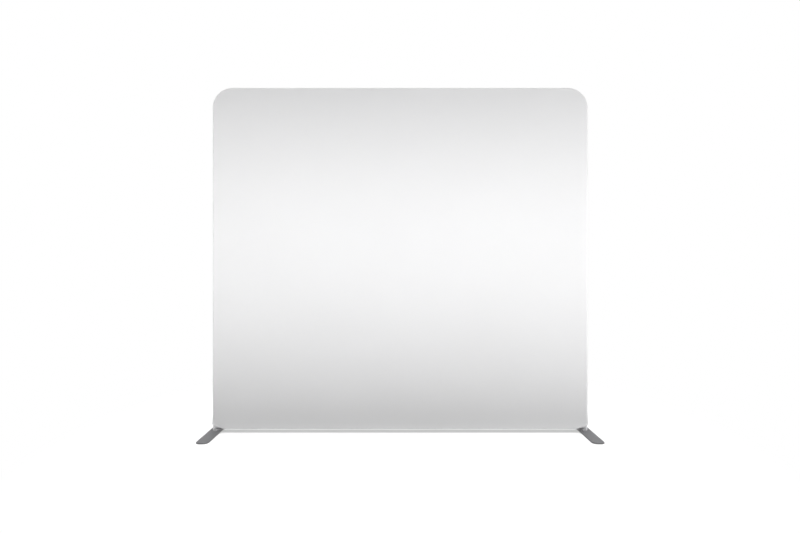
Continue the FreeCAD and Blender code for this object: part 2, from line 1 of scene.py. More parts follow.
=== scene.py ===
"""Looks of a free-standing fabric wall: its stretch cover, zipper, finishes, light and camera.

Lengths are in metres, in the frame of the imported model: X along the wall, -Y to the front, +Z up.
"""

import json
import math
from contextlib import contextmanager

import bmesh
import bpy
import numpy as np
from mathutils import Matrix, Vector


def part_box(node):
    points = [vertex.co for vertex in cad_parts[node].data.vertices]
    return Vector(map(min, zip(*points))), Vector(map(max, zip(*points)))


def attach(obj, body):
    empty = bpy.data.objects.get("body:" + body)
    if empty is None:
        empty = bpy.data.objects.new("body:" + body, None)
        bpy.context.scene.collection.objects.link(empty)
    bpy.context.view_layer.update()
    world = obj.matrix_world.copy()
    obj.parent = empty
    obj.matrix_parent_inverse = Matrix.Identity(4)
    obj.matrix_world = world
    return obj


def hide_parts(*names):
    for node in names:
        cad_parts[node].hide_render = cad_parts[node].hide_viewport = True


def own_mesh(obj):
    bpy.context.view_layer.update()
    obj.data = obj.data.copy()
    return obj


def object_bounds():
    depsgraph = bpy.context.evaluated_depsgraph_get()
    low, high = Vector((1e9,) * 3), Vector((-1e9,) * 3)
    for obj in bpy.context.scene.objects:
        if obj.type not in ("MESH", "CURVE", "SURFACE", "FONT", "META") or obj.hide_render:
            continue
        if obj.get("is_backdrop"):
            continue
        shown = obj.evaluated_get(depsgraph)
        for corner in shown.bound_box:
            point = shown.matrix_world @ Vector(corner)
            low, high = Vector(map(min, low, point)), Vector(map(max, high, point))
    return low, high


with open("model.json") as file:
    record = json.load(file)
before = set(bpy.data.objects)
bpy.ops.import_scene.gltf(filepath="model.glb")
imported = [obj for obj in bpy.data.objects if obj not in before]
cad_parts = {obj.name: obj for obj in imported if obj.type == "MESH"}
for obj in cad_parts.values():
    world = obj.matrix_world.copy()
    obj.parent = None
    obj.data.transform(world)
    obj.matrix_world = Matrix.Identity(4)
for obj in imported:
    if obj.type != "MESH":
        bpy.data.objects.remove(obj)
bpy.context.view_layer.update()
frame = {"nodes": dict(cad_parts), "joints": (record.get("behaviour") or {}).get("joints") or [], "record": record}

# Sizes of the cover and the zipper, as the frame's boxes give them
front_low, front_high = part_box("cover_front_panel")
lower_tape_low, lower_tape_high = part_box("zipper_tape_lower")
upper_tape_low, upper_tape_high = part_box("zipper_tape_upper")
lower_teeth_low, lower_teeth_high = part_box("zipper_teeth_lower")
upper_teeth_low, upper_teeth_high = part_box("zipper_teeth_upper")

# Sizes of the cover that the boxes don't give; a swell has waves across and up, a start and a share
CLOTH_THICKNESS = 0.0008
TOP_CORNER_RADIUS = 0.132
HEM_RUN = 0.095
HEM_RISE = 0.035
ZIP_OPENING = 0.014
ZIP_GAP = 0.001
FLARE = 0.004
FLARE_HEIGHT = 0.07
UNDULATION = 0.0007
UNDULATION_FADE = 0.35
SWELLS = ((2.1, 1.3, 0.4, 1.0), (4.3, -2.2, 1.9, 0.6))
SEAM_LIP = 0.0005
SEAM_LIP_WIDTH = 0.006
SEAM_GROOVE = 0.0007
SEAM_GROOVE_WIDTH = 0.0012
FOLD_WIDTH = 0.008
FOLD_RISE = 0.0005
HEM_BAND = 0.009
HEM_THICKNESS = 0.0022
HEM_DROP = 0.0005
HEM_TAPER = 0.03
HEM_TIP_SHARE = 0.25

# The wall's two sides, as the sign of X
SIDES = {"left": -1, "right": 1}

# Sizes of the meshes; lines closer than their last kept digit are one line
MID_STEP = 0.036
CORNER_STEP = 0.006
LOW_BAND = 0.1
HOLD_STEP = 0.003
WRAP_STEP = 0.0022
GROOVE_STEPS = 3
LINE_DIGITS = 6
WRAP_DIGITS = 7
WELD = 0.0004
CLIP_WELD = 0.00001
SHARP_ANGLE = math.radians(40)

# Sizes of the threads and of the zipper
STITCH_PITCH = 0.0032
STITCH_LENGTH = 0.0024
STITCH_RADIUS = 0.00032
STITCH_INSET = 0.0045
HEM_STITCH_INSET = 0.0065
STITCH_SIDES = 6
STITCH_SHAPE_SHARES = ((-0.5, 0.35), (-0.25, 1.0), (0.25, 1.0), (0.5, 0.35))
TACK_REACH = 0.003
TACK_PITCH = 0.00055
TAPE_TUCK = 0.004
COIL_PITCH = 0.0022
COIL_WIRE = 0.0004
COIL_STEPS = 7
COIL_SIDES = 4
HEM_SAMPLES = 200
BAND_POINTS = 14
BAND_SQUARENESS = 0.5

# Sizes of the patterns in the finishes
WAVE_SCALE = 2 * math.pi / 20
KNIT_WALE = 0.0011
KNIT_COURSE = 0.0008
KNIT_DEPTH = 0.0002
FIBRE_SIZE = 0.0006
TONE_SIZE = 0.45
TWILL_PERIOD = 0.0009
THREAD_TWIST = 0.0005
METAL_CLOUD = 0.02
FINE_GRAIN = 0.0004
LONG_GRAIN = 0.03
CAST_GRAIN = 0.0012
METAL_DEPTH = 0.00003
CAST_DEPTH = 0.0001
POWDER_GRAIN = 0.0007
POWDER_DEPTH = 0.0002
SCUFF_SIZE = 0.012
WORN_EDGE = 0.0025

# How the patterns are mixed, and how fine they are
GRAIN_DETAIL = 2.0
CLOUD_DETAIL = 3.0
SCRATCH_DETAIL = 4.0
EDGE_SAMPLES = 4
COURSE_SHARE = 0.4
TONE_KNIT_SHARE = 0.3
FIBRE_SHARE = 0.35
KNIT_BUMP_SHARE = 0.7
TWIST_BUMP_SHARE = 0.5
TWILL_BUMP_SHARE = 0.6
METAL_BUMP_SHARE = 0.3
POWDER_BUMP_SHARE = 0.6
SCUFF_SHARE = 0.5
SPECKLE_FADE_SHARE = 0.6
EDGE_ALIKE_SHARES = (0.995, 0.9)
WORN_SHARE = 0.6

# Colours and roughness of the finishes, at the low and the high end of their patterns
FABRIC_COLOURS = ((0.84, 0.84, 0.845), (0.87, 0.87, 0.875))
FABRIC_ROUGHNESS = (0.8, 0.95)
THREAD_COLOURS = ((0.8, 0.8, 0.805), (0.88, 0.88, 0.885))
THREAD_ROUGHNESS = (0.6, 0.75)
TAPE_COLOURS = ((0.74, 0.74, 0.75), (0.82, 0.82, 0.83))
TAPE_ROUGHNESS = (0.75, 0.92)
NYLON_COLOURS = ((0.78, 0.78, 0.79), (0.84, 0.84, 0.85))
NYLON_ROUGHNESS = (0.32, 0.48)
PAINT_COLOURS = ((0.13, 0.13, 0.135), (0.24, 0.24, 0.245))
PAINT_ROUGHNESS = (0.55, 0.7)
METAL_DARK_SHARE = 0.93
METAL_ROUGHNESS_SPREAD = 0.07
WHITE = (1, 1, 1, 1)

# Bare metals, each with the size of its grain along X, Y and Z
EVEN_GRAINS = (FINE_GRAIN, FINE_GRAIN, FINE_GRAIN)
CAST_GRAINS = (CAST_GRAIN, CAST_GRAIN, CAST_GRAIN)
UPRIGHT_GRAINS = (FINE_GRAIN, FINE_GRAIN, LONG_GRAIN)
LEVEL_GRAINS = (LONG_GRAIN, FINE_GRAIN, FINE_GRAIN)
METALS = {
    "cast_aluminium": dict(colour=(0.58, 0.58, 0.59), roughness=0.5, grains=CAST_GRAINS, depth=CAST_DEPTH),
    "rivet_aluminium": dict(colour=(0.7, 0.7, 0.71), roughness=0.35, grains=EVEN_GRAINS),
    "button_steel": dict(colour=(0.66, 0.66, 0.67), roughness=0.28, grains=EVEN_GRAINS),
    "spring_steel": dict(colour=(0.45, 0.46, 0.48), roughness=0.34, grains=UPRIGHT_GRAINS),
    "pin_steel": dict(colour=(0.6, 0.6, 0.61), roughness=0.3, grains=UPRIGHT_GRAINS),
    "zipper_metal": dict(colour=(0.46, 0.46, 0.47), roughness=0.34, grains=EVEN_GRAINS),
    "upright_tube": dict(colour=(0.77, 0.78, 0.8), roughness=0.34, grains=UPRIGHT_GRAINS),
    "level_tube": dict(colour=(0.77, 0.78, 0.8), roughness=0.34, grains=LEVEL_GRAINS),
}

# Places that follow from the sizes
SKIN = -front_low.y
TUBE_X = front_high.x - SKIN
TOP_Z = front_high.z - SKIN
BOTTOM_Z = front_low.z + SKIN
BEND_X = front_high.x - TOP_CORNER_RADIUS
BEND_Z = front_high.z - TOP_CORNER_RADIUS
BEND_RADIUS = TOP_CORNER_RADIUS - SKIN
HEM_X = front_high.x - HEM_RUN
HEM_SLOPE = HEM_RISE / HEM_RUN
ZIP_END = lower_tape_high.x
ZIP_Z = (lower_tape_high.z + upper_tape_low.z) / 2
ZIP_LOWER_EDGE = ZIP_Z - ZIP_OPENING / 2
ZIP_UPPER_EDGE = ZIP_Z + ZIP_OPENING / 2
TACK_X = (lower_teeth_high.x + ZIP_END) / 2
lower_tape_high.z = lower_teeth_high.z = ZIP_Z - ZIP_GAP / 2
upper_tape_low.z = upper_teeth_low.z = ZIP_Z + ZIP_GAP / 2

# The camera
CAMERA_PLACE = (-0.0015, -3.02, 1.099)
CAMERA_LENS = 20.345
CAMERA_SENSOR = 36.0

# The floor: its plain white part, the light that it throws back, and its contact shadow
FLOOR_SIZE = 60.0
FLOOR_DROP = 0.0003
FLOOR_NEAR = 1.4
FLOOR_FAR = 2.2
FLOOR_CLOSE = 0.9
FLOOR_CLOSE_REACH = (0.03, 0.08)
FLOOR_MIDDLE = 0.08
FLOOR_MIDDLE_REACH = (0.2, 1.0)
FLOOR_OPEN = 0.7
CONTACT_REACH = 0.07
CONTACT_SAMPLES = 16
CONTACT_SHARES = (0.45, 0.88)
FLOOR_SHADES = (0.1, 0.5)
FLOOR_GLOWS = (0.4, 0.58)

# The light
AMBIENT = 0.1
LAMPS = (
    dict(name="front_strip", place=(0, -1.65, 1.34), target=(0, 0, 1.34), size=(4.5, 0.6), power=36),
    dict(name="overhead", place=(0, 0, 15), target=(0, 0, 0), size=(6, 0.5), power=1100),
    dict(name="left_box", place=(-4.2, -1.2, 1.4), target=(0, 0, 1.2), size=(0.8, 1.6), power=35),
    dict(name="right_box", place=(4.2, -1.2, 1.1), target=(0, 0, 0.8), size=(0.8, 1.6), power=60),
    dict(name="back_strip", place=(0, 2.2, 1.7), target=(0, 0, 1.4), size=(4.5, 0.8), power=58),
)


@contextmanager
def edited(mesh, source=None):
    """A work copy of a mesh, or of a source, that goes into the mesh when it is done."""
    work = bmesh.new()
    work.from_mesh(source or mesh)
    yield work
    work.to_mesh(mesh)
    work.free()


def points_at(x, y, z):
    """Points from three coordinates, each of which is an array or one value for all."""
    return np.stack(np.broadcast_arrays(x, y, z), axis=-1)


class Surface:
    """Points and faces of one piece, gathered patch by patch."""

    def __init__(self):
        self.points = []
        self.faces = []

    def add_points(self, points):
        """Adds an array of points and gives their numbers in the same layout."""
        points = np.asarray(points, float)
        first = len(self.points)
        self.points.extend(map(tuple, points.reshape(-1, 3)))
        return np.arange(first, len(self.points)).reshape(points.shape[:-1])

    def add_grid(self, numbers, keep=None):
        """Adds a four-sided face in each cell of a grid of points, or in the cells to keep."""
        cells = [numbers[:-1, :-1], numbers[:-1, 1:], numbers[1:, 1:], numbers[1:, :-1]]
        quads = np.stack(cells, axis=-1)
        chosen = quads if keep is None else quads[keep]
        self.faces += chosen.reshape(-1, 4).tolist()

    def add_tubes(self, rings, closed=False):
        """Adds tubes from an array of tubes, rings along each tube and points round each ring."""
        numbers = self.add_points(rings)
        for tube in numbers:
            around = np.concatenate([tube, tube[:, :1]], axis=1)
            if closed:
                around = np.concatenate([around, around[:1]])
            else:
                self.faces += [tube[0, ::-1].tolist(), tube[-1].tolist()]
            self.add_grid(around)

    def mesh(self, name):
        """The gathered faces as a mesh, with no loose points."""
        mesh = bpy.data.meshes.new(name)
        mesh.from_pydata(self.points, [], self.faces)
        with edited(mesh) as work:
            loose = [v for v in work.verts if not v.link_faces]
            bmesh.ops.delete(work, geom=loose, context="VERTS")
        return mesh


def new_object(name, data):
    """Puts a mesh, a lamp or a camera in the scene."""
    made = bpy.data.objects.new(name, data)
    bpy.context.scene.collection.objects.link(made)
    return made


def add_piece(name, mesh, body, material):
    """Puts a mesh in the scene as a piece that rides on a body."""
    piece = new_object(name, mesh)
    mesh.materials.append(material)
    mesh.shade_smooth()
    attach(piece, body)
    return piece


def even_lines(start, end, step):
    """Evenly spaced values from start to end, at most a step apart."""
    count = max(1, math.ceil(abs(end - start) / step))
    return list(np.linspace(start, end, count + 1))


def smooth(value, low, high):
    """A soft step from 0 at low to 1 at high."""
    share = np.clip((value - low) / (high - low), 0, 1)
    return share * share * (3 - 2 * share)


def across_lines():
    """Places across the wall where the cover's mesh has a line."""
    half = even_lines(0, BEND_X, MID_STEP) + even_lines(BEND_X, TUBE_X, CORNER_STEP)
    half += [ZIP_END, TUBE_X - HOLD_STEP]
    both = [sign * x for x in half for sign in SIDES.values()]
    return np.unique(np.round(both, LINE_DIGITS) + 0.0)


def upward_lines(extra):
    """Heights where the cover's mesh has a line."""
    lines = even_lines(BOTTOM_Z, BOTTOM_Z + LOW_BAND, CORNER_STEP)
    lines += even_lines(BOTTOM_Z + LOW_BAND, BEND_Z, MID_STEP)
    lines += even_lines(BEND_Z, TOP_Z, CORNER_STEP) + [TOP_Z - HOLD_STEP] + extra
    return np.unique(np.round(lines, LINE_DIGITS))


def rounded(x, z):
    """Moves points of the square grid into the outline with round top corners."""
    u = np.clip((np.abs(x) - BEND_X) / BEND_RADIUS, 0, 1)
    v = np.clip((z - BEND_Z) / BEND_RADIUS, 0, 1)
    in_corner = (u > 0) & (v > 0)
    round_x = np.sign(x) * (BEND_X + BEND_RADIUS * u * np.sqrt(1 - v * v / 2))
    round_z = BEND_Z + BEND_RADIUS * v * np.sqrt(1 - u * u / 2)
    return np.where(in_corner, round_x, x), np.where(in_corner, round_z, z)


def outward(x, z):
    """Direction out of the outline, in the wall's plane, at points of the tube axis."""
    away_x = np.sign(x) * np.maximum(np.abs(x) - BEND_X, 0)
    away_z = np.maximum(z - BEND_Z, 0)
    on_side = np.isclose(away_z, 0)
    away_x = np.where(on_side, np.sign(x), away_x)
    size = np.hypot(away_x, away_z)
    return away_x / size, away_z / size


def seam_rise(along):
    """How far the cloth stands out at a distance from the edge seam."""
    lip = SEAM_LIP * (1 - smooth(along, SEAM_GROOVE_WIDTH, SEAM_LIP_WIDTH))
    near = np.clip(1 - along / SEAM_GROOVE_WIDTH, 0, 1)
    return lip - SEAM_GROOVE * near * near


def wrap_lines():
    """Distances from the edge seam, along the cloth, where the wrap has a line."""
    quarter = SKIN * math.pi / 2
    lines = even_lines(quarter, SEAM_LIP_WIDTH, WRAP_STEP)
    lines += even_lines(SEAM_LIP_WIDTH, SEAM_GROOVE_WIDTH, SEAM_GROOVE_WIDTH)
    lines += even_lines(SEAM_GROOVE_WIDTH, 0, SEAM_GROOVE_WIDTH / GROOVE_STEPS)
    return np.unique(np.round(lines, WRAP_DIGITS))[::-1]


def edge_path(numbers):
    """Point numbers up the left side, over the top and down the right side of a panel."""
    return np.concatenate([numbers[:, 0], numbers[-1, 1:], numbers[-2::-1, -1]])


def add_edge_wrap(surface, path, facing):
    """Adds the cloth that goes from a panel's flat face round the tube to the edge seam."""
    base = np.array([surface.points[n] for n in path])
    out_x, out_z = outward(base[:, 0], base[:, 2])
    columns = [path]
    for along in wrap_lines()[1:]:
        angle = math.pi / 2 - along / SKIN
        reach = SKIN + seam_rise(along)
        x = base[:, 0] + out_x * reach * math.sin(angle)
        z = base[:, 2] + out_z * reach * math.sin(angle)
        columns.append(surface.add_points(points_at(x, facing * reach * math.cos(angle), z)))
    surface.add_grid(np.stack(columns, axis=-1))


def fold_rise(height, edge):
    """How far the doubled cloth at a zipper edge stands out."""
    return FOLD_RISE * (1 - smooth(abs(height - edge), FOLD_WIDTH - FOLD_RISE, FOLD_WIDTH + FOLD_RISE))


def fold_lines(edge, away):
    """Heights of the mesh lines in the fold beside a zipper edge."""
    steps = (0, FOLD_WIDTH / 2, FOLD_WIDTH - FOLD_RISE, FOLD_WIDTH, FOLD_WIDTH + FOLD_RISE)
    return [edge + away * step for step in steps]


def flat_panel(extra_heights):
    """The x and z grids of a panel's flat face, within the tube axes."""
    x, z = np.meshgrid(across_lines(), upward_lines(extra_heights))
    return rounded(x, z)


def front_surface():
    """The front panel, which also goes under the bottom tube and up to the zipper."""
    surface = Surface()
    x, z = flat_panel([])
    flat = surface.add_points(points_at(x, -SKIN, z))
    surface.add_grid(flat)
    add_edge_wrap(surface, edge_path(flat), -1)
    low_x = x[0]
    rows = [flat[0]]
    for along in even_lines(0, SKIN * math.pi, WRAP_STEP)[1:]:
        angle = along / SKIN
        under = points_at(low_x, -SKIN * math.cos(angle), BOTTOM_Z - SKIN * math.sin(angle))
        rows.append(surface.add_points(under))
    surface.add_grid(np.stack(rows))
    heights = even_lines(BOTTOM_Z, ZIP_LOWER_EDGE - FOLD_WIDTH - FOLD_RISE, CORNER_STEP)
    heights += fold_lines(ZIP_LOWER_EDGE, -1)[::-1]
    rows = [rows[-1]]
    for height in np.unique(np.round(heights, LINE_DIGITS))[1:]:
        behind = points_at(low_x, SKIN + fold_rise(height, ZIP_LOWER_EDGE), height)
        rows.append(surface.add_points(behind))
    middle = (low_x[1:] + low_x[:-1]) / 2
    keep = np.tile(np.abs(middle) < ZIP_END, (len(rows) - 1, 1))
    surface.add_grid(np.stack(rows), keep)
    return surface


def back_surface():
    """The back panel, with the notch for the zipper."""
    surface = Surface()
    x, z = flat_panel(fold_lines(ZIP_UPPER_EDGE, 1))
    within = 1 - smooth(np.abs(x), ZIP_END, ZIP_END + FOLD_WIDTH)
    flat = surface.add_points(points_at(x, SKIN + fold_rise(z, ZIP_UPPER_EDGE) * within, z))
    middle_x = (x[1:, 1:] + x[1:, :-1]) / 2
    middle_z = (z[1:, 1:] + z[:-1, 1:]) / 2
    notch = (np.abs(middle_x) < ZIP_END) & (middle_z < ZIP_UPPER_EDGE)
    surface.add_grid(flat, ~notch)
    add_edge_wrap(surface, edge_path(flat), 1)
    return surface


def cut_hems(mesh):
    """Cuts the cover's bottom corners along the slanting hems and welds the slivers."""
    with edited(mesh) as work:
        for side in SIDES.values():
            everything = work.verts[:] + work.edges[:] + work.faces[:]
            place = (side * HEM_X, 0, front_low.z)
            normal = (side * HEM_SLOPE, 0, -1)
            bmesh.ops.bisect_plane(work, geom=everything, plane_co=place, plane_no=normal, clear_outer=True)
        bmesh.ops.remove_doubles(work, verts=work.verts[:], dist=WELD)


def hem_height(x):
    """Height of the hem's plane at a place across the wall."""
    return front_low.z + HEM_SLOPE * (np.abs(x) - HEM_X)


def pulled(points):
    """Moves points of the cover as the tension does: the hems flare and the flat faces undulate."""
    points = np.array(points, float)
    x, y, z = points.T
    near_hem = 1 - smooth(z - hem_height(x), 0, FLARE_HEIGHT)
    near_side = smooth(np.abs(x), BEND_X, front_high.x)
    edge_gap = np.minimum(TUBE_X - np.abs(x), np.minimum(z - BOTTOM_Z, TOP_Z - z))
    fade = smooth(edge_gap, 0, UNDULATION_FADE) * np.sign(y)
    swell = sum(share * np.sin(wide * x + high * z + start) for wide, high, start, share in SWELLS)
    flare = FLARE * near_hem * near_side
    points[:, 0] = x + np.sign(x) * flare
    points[:, 1] = y + UNDULATION * swell * fade
    points[:, 2] = z + HEM_SLOPE * flare
    return points


def set_normals(mesh, facing):
    """Turns every face of an open sheet outwards, given the way its flat face looks."""
    with edited(mesh) as work:
        bmesh.ops.recalc_face_normals(work, faces=work.faces[:])
        largest = max(work.faces, key=lambda face: face.calc_area())
        if largest.normal.y * facing < 0:
            bmesh.ops.reverse_faces(work, faces=work.faces[:])


def thicken(piece):
    """Gives an open sheet the cloth's thickness on its inner side, with crisp rims."""
    layer = piece.modifiers.new("cloth_thickness", "SOLIDIFY")
    layer.thickness = CLOTH_THICKNESS
    layer.offset = -1
    bpy.context.view_layer.update()
    shown = piece.evaluated_get(bpy.context.evaluated_depsgraph_get())
    mesh = bpy.data.meshes.new_from_object(shown)
    piece.modifiers.clear()
    piece.data = mesh
    mesh.set_sharp_from_angle(angle=SHARP_ANGLE)


def cover_panel(name, node, surface, facing, material):
    """One panel of the cover as a cloth piece that replaces its solid."""
    mesh = surface.mesh(name)
    cut_hems(mesh)
    places = pulled([v.co for v in mesh.vertices])
    mesh.vertices.foreach_set("co", places.ravel())
    set_normals(mesh, facing)
    piece = add_piece(name, mesh, "wall", material)
    thicken(piece)
    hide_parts(node)
    return piece


def solid_piece(name, surface, material):
    """A closed piece of the wall, with its faces turned outwards and crisp edges."""
    mesh = surface.mesh(name)
    with edited(mesh) as work:
        bmesh.ops.recalc_face_normals(work, faces=work.faces[:])
    piece = add_piece(name, mesh, "wall", material)
    mesh.set_sharp_from_angle(angle=SHARP_ANGLE)
    return piece


def ring_angles(count):
    """Evenly spaced angles round a ring."""
    return np.arange(count) * 2 * math.pi / count


def band_profile(half_width, half_thickness):
    """A flat band's rounded section, as offsets along its width and its thickness."""
    angle = ring_angles(BAND_POINTS)
    wide = np.sign(np.cos(angle)) * np.abs(np.cos(angle)) ** BAND_SQUARENESS
    thick = np.sign(np.sin(angle)) * np.abs(np.sin(angle)) ** BAND_SQUARENESS
    return half_width * wide, half_thickness * thick


def hem_loop(side):
    """Points round a leg opening, with the directions along the hem, up the cloth and out of it."""
    share = (1 - np.cos(np.linspace(0, math.pi, HEM_SAMPLES))) / 2
    reach = HEM_X + HEM_RUN * share
    below = np.clip(BOTTOM_Z - hem_height(reach), 0, SKIN)
    beyond = np.clip(reach - TUBE_X, 0, SKIN)
    depth = np.sqrt(np.maximum(SKIN * SKIN - below * below - beyond * beyond, 0))
    front = points_at(side * reach, -depth, hem_height(reach))
    out = points_at(side * beyond, -depth, -below) / SKIN
    mirror = np.array([1, -1, 1])
    points = np.concatenate([front, (front * mirror)[-2:0:-1]])
    normals = np.concatenate([out, (out * mirror)[-2:0:-1]])
    return even_loop(points, normals)


def even_loop(points, normals):
    """A closed loop again, with points a stitch pitch apart and its three directions."""
    closed = np.concatenate([points, points[:1]])
    turned = np.concatenate([normals, normals[:1]])
    along = np.concatenate([[0], np.cumsum(np.linalg.norm(np.diff(closed, axis=0), axis=1))])
    count = round(along[-1] / STITCH_PITCH)
    places = np.arange(count) * along[-1] / count
    points = np.stack([np.interp(places, along, closed[:, axis]) for axis in range(3)], axis=-1)
    normals = np.stack([np.interp(places, along, turned[:, axis]) for axis in range(3)], axis=-1)
    normals /= np.linalg.norm(normals, axis=1, keepdims=True)
    ahead = np.roll(points, -1, axis=0) - np.roll(points, 1, axis=0)
    ahead /= np.linalg.norm(ahead, axis=1, keepdims=True)
    up = np.cross(normals, ahead)
    inward = np.array([-np.sign(points[0, 0]) * HEM_SLOPE, 0, 1])
    up *= np.sign(up @ inward)[:, None]
    return points, ahead, up, normals


def leg_hem(name, side, material):
    """The folded and sewn band round a leg opening."""
    surface = Surface()
    points, ahead, up, out = hem_loop(side)
    wide, thick = band_profile(HEM_BAND / 2, HEM_THICKNESS / 2)
    taper = HEM_TIP_SHARE + (1 - HEM_TIP_SHARE) * smooth(np.abs(points[:, 0]) - HEM_X, 0, HEM_TAPER)
    lift = wide + HEM_BAND / 2 - HEM_DROP
    section = up[:, None] * lift[None, :, None] + out[:, None] * thick[None, :, None]
    rings = points[:, None] + taper[:, None, None] * section
    rings = pulled(rings.reshape(-1, 3)).reshape(rings.shape)
    surface.add_tubes(rings[None], closed=True)
    return solid_piece(name, surface, material)


def add_stitches(surface, places, ahead, out):
    """Adds a short rounded stitch at each place, lying along a direction on the cloth."""
    side = np.cross(ahead, out)
    angle = ring_angles(STITCH_SIDES)
    round_it = side[:, None] * np.cos(angle)[None, :, None] + out[:, None] * np.sin(angle)[None, :, None]
    rings = []
    for along_share, size_share in STITCH_SHAPE_SHARES:
        centre = places + ahead * STITCH_LENGTH * along_share
        rings.append(centre[:, None] + round_it * STITCH_RADIUS * size_share)
    surface.add_tubes(np.stack(rings, axis=1))


def add_level_stitches(surface, places):
    """Adds a stitch along X at each place on the wall's back."""
    ahead = np.tile([1.0, 0, 0], (len(places), 1))
    out = np.tile([0, 1.0, 0], (len(places), 1))
    add_stitches(surface, places, ahead, out)


def hem_stitches(name, side, material):
    """The row of stitches round a leg opening."""
    surface = Surface()
    points, ahead, up, out = hem_loop(side)
    places = points + up * HEM_STITCH_INSET + out * HEM_THICKNESS / 2
    sewn = np.abs(points[:, 0]) - HEM_X > HEM_TAPER / 2
    add_stitches(surface, pulled(places)[sewn], ahead[sewn], out[sewn])
    return solid_piece(name, surface, material)


def zipper_stitches(name, height, material):
    """A straight row of stitches through the cloth's fold and the zipper tape."""
    surface = Surface()
    x = np.arange(-ZIP_END + STITCH_PITCH, ZIP_END, STITCH_PITCH)
    add_level_stitches(surface, points_at(x, SKIN + FOLD_RISE, height))
    return solid_piece(name, surface, material)


def zipper_tacks(name, material):
    """A bar of close stitches across each end of the zipper, drawn down onto its tapes."""
    surface = Surface()
    z = np.arange(ZIP_LOWER_EDGE - TACK_REACH, ZIP_UPPER_EDGE + TACK_REACH, TACK_PITCH)
    on_cloth = smooth(np.abs(z - ZIP_Z), ZIP_OPENING / 2 - TACK_REACH, ZIP_OPENING / 2)
    y = lower_tape_high.y + (SKIN + FOLD_RISE - lower_tape_high.y) * on_cloth
    for side in SIDES.values():
        add_level_stitches(surface, points_at(side * TACK_X, y, z))
    return solid_piece(name, surface, material)


def zipper_tape(name, node, low, high, material):
    """A woven zipper tape with rounded edges."""
    surface = Surface()
    x = np.array(even_lines(low.x - TAPE_TUCK, high.x + TAPE_TUCK, MID_STEP))
    wide, thick = band_profile((high.z - low.z) / 2, (high.y - low.y) / 2)
    y = (low.y + high.y) / 2 + thick
    z = (low.z + high.z) / 2 + wide
    rings = points_at(x[:, None], y, z)
    surface.add_tubes(rings[None])
    piece = solid_piece(name, surface, material)
    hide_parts(node)
    return piece


def zipper_coil(name, node, low, high, turn, material):
    """A row of zipper teeth, wound from one nylon wire."""
    surface = Surface()
    steps = round((high.x - low.x - 2 * COIL_WIRE) / COIL_PITCH * COIL_STEPS)
    angle = turn * np.arange(steps + 1) * 2 * math.pi / COIL_STEPS
    x = low.x + COIL_WIRE + COIL_PITCH * np.arange(steps + 1) / COIL_STEPS
    radius_y = (high.y - low.y) / 2 - COIL_WIRE
    radius_z = (high.z - low.z) / 2 - COIL_WIRE
    y = (low.y + high.y) / 2 + radius_y * np.cos(angle)
    z = (low.z + high.z) / 2 + radius_z * np.sin(angle)
    out = points_at(0.0, np.cos(angle), np.sin(angle))
    across = np.array([1.0, 0, 0])
    around = ring_angles(COIL_SIDES)
    section = out[:, None] * np.cos(around)[None, :, None] + across * np.sin(around)[None, :, None]
    rings = points_at(x, y, z)[:, None] + COIL_WIRE * section
    surface.add_tubes(rings[None])
    piece = solid_piece(name, surface, material)
    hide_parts(node)
    return piece


def spring_clip(joint, buttons, material):
    """One button's spring clip, cut out of the node of all clips."""
    name = joint["child"].replace("button", "clip")
    mesh = bpy.data.meshes.new(name)
    with edited(mesh, source=frame["nodes"]["button_springs"].data) as work:
        others = []
        for face in work.faces:
            middle = face.calc_center_median()
            nearest = min(buttons, key=lambda button: (buttons[button] - middle).length)
            if nearest != joint["child"]:
                others.append(face)
        bmesh.ops.delete(work, geom=others, context="FACES")
        bmesh.ops.remove_doubles(work, verts=work.verts[:], dist=CLIP_WELD)
    piece = add_piece(name, mesh, "wall", material)
    mesh.set_sharp_from_angle(angle=SHARP_ANGLE)
    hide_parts("button_springs")
    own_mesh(piece)


def add_node(tree, kind, inputs=None, **settings):
    """Adds a node to a material; an input is a constant or another node's output."""
    made = tree.nodes.new(kind)
    for key, value in settings.items():
        setattr(made, key, value)
    for key, value in (inputs or {}).items():
        if isinstance(value, bpy.types.NodeSocket):
            tree.links.new(value, made.inputs[key])
        else:
            made.inputs[key].default_value = value
    return made


def start_material(name, **sockets):
    """A new material, with constants on its shader's own sockets."""
    made = bpy.data.materials.new(name)
    made.use_nodes = True
    shader = made.node_tree.nodes["Principled BSDF"]
    for key, value in sockets.items():
        shader.inputs[key.replace("_", " ")].default_value = value
    return made, made.node_tree, shader


def reckon(tree, operation, first, second=0.0):
    """One sum with a value or two."""
    return add_node(tree, "ShaderNodeMath", {0: first, 1: second}, operation=operation).outputs[0]


def between(tree, value, given, wanted):
    """Takes a value softly from one range to another."""
    ranges = {"Value": value}
    ranges["From Min"], ranges["From Max"] = given
    ranges["To Min"], ranges["To Max"] = wanted
    return add_node(tree, "ShaderNodeMapRange", ranges, interpolation_type="SMOOTHSTEP").outputs["Result"]


def object_place(tree):
    """Places in the object's own frame."""
    return add_node(tree, "ShaderNodeTexCoord").outputs["Object"]


def cloth_place(tree):
    """Places on the cover's cloth, which run on round the tubes."""
    parts = add_node(tree, "ShaderNodeSeparateXYZ", {0: object_place(tree)}).outputs
    across = reckon(tree, "ADD", parts["X"], parts["Y"])
    upward = reckon(tree, "ADD", parts["Z"], parts["Y"])
    return add_node(tree, "ShaderNodeCombineXYZ", {"X": across, "Y": upward}).outputs[0]


def ribs(tree, place, direction, period):
    """Even ribs along a direction, from 0 to 1."""
    wave = {"Vector": place, "Scale": WAVE_SCALE / period}
    return add_node(tree, "ShaderNodeTexWave", wave, bands_direction=direction).outputs["Fac"]


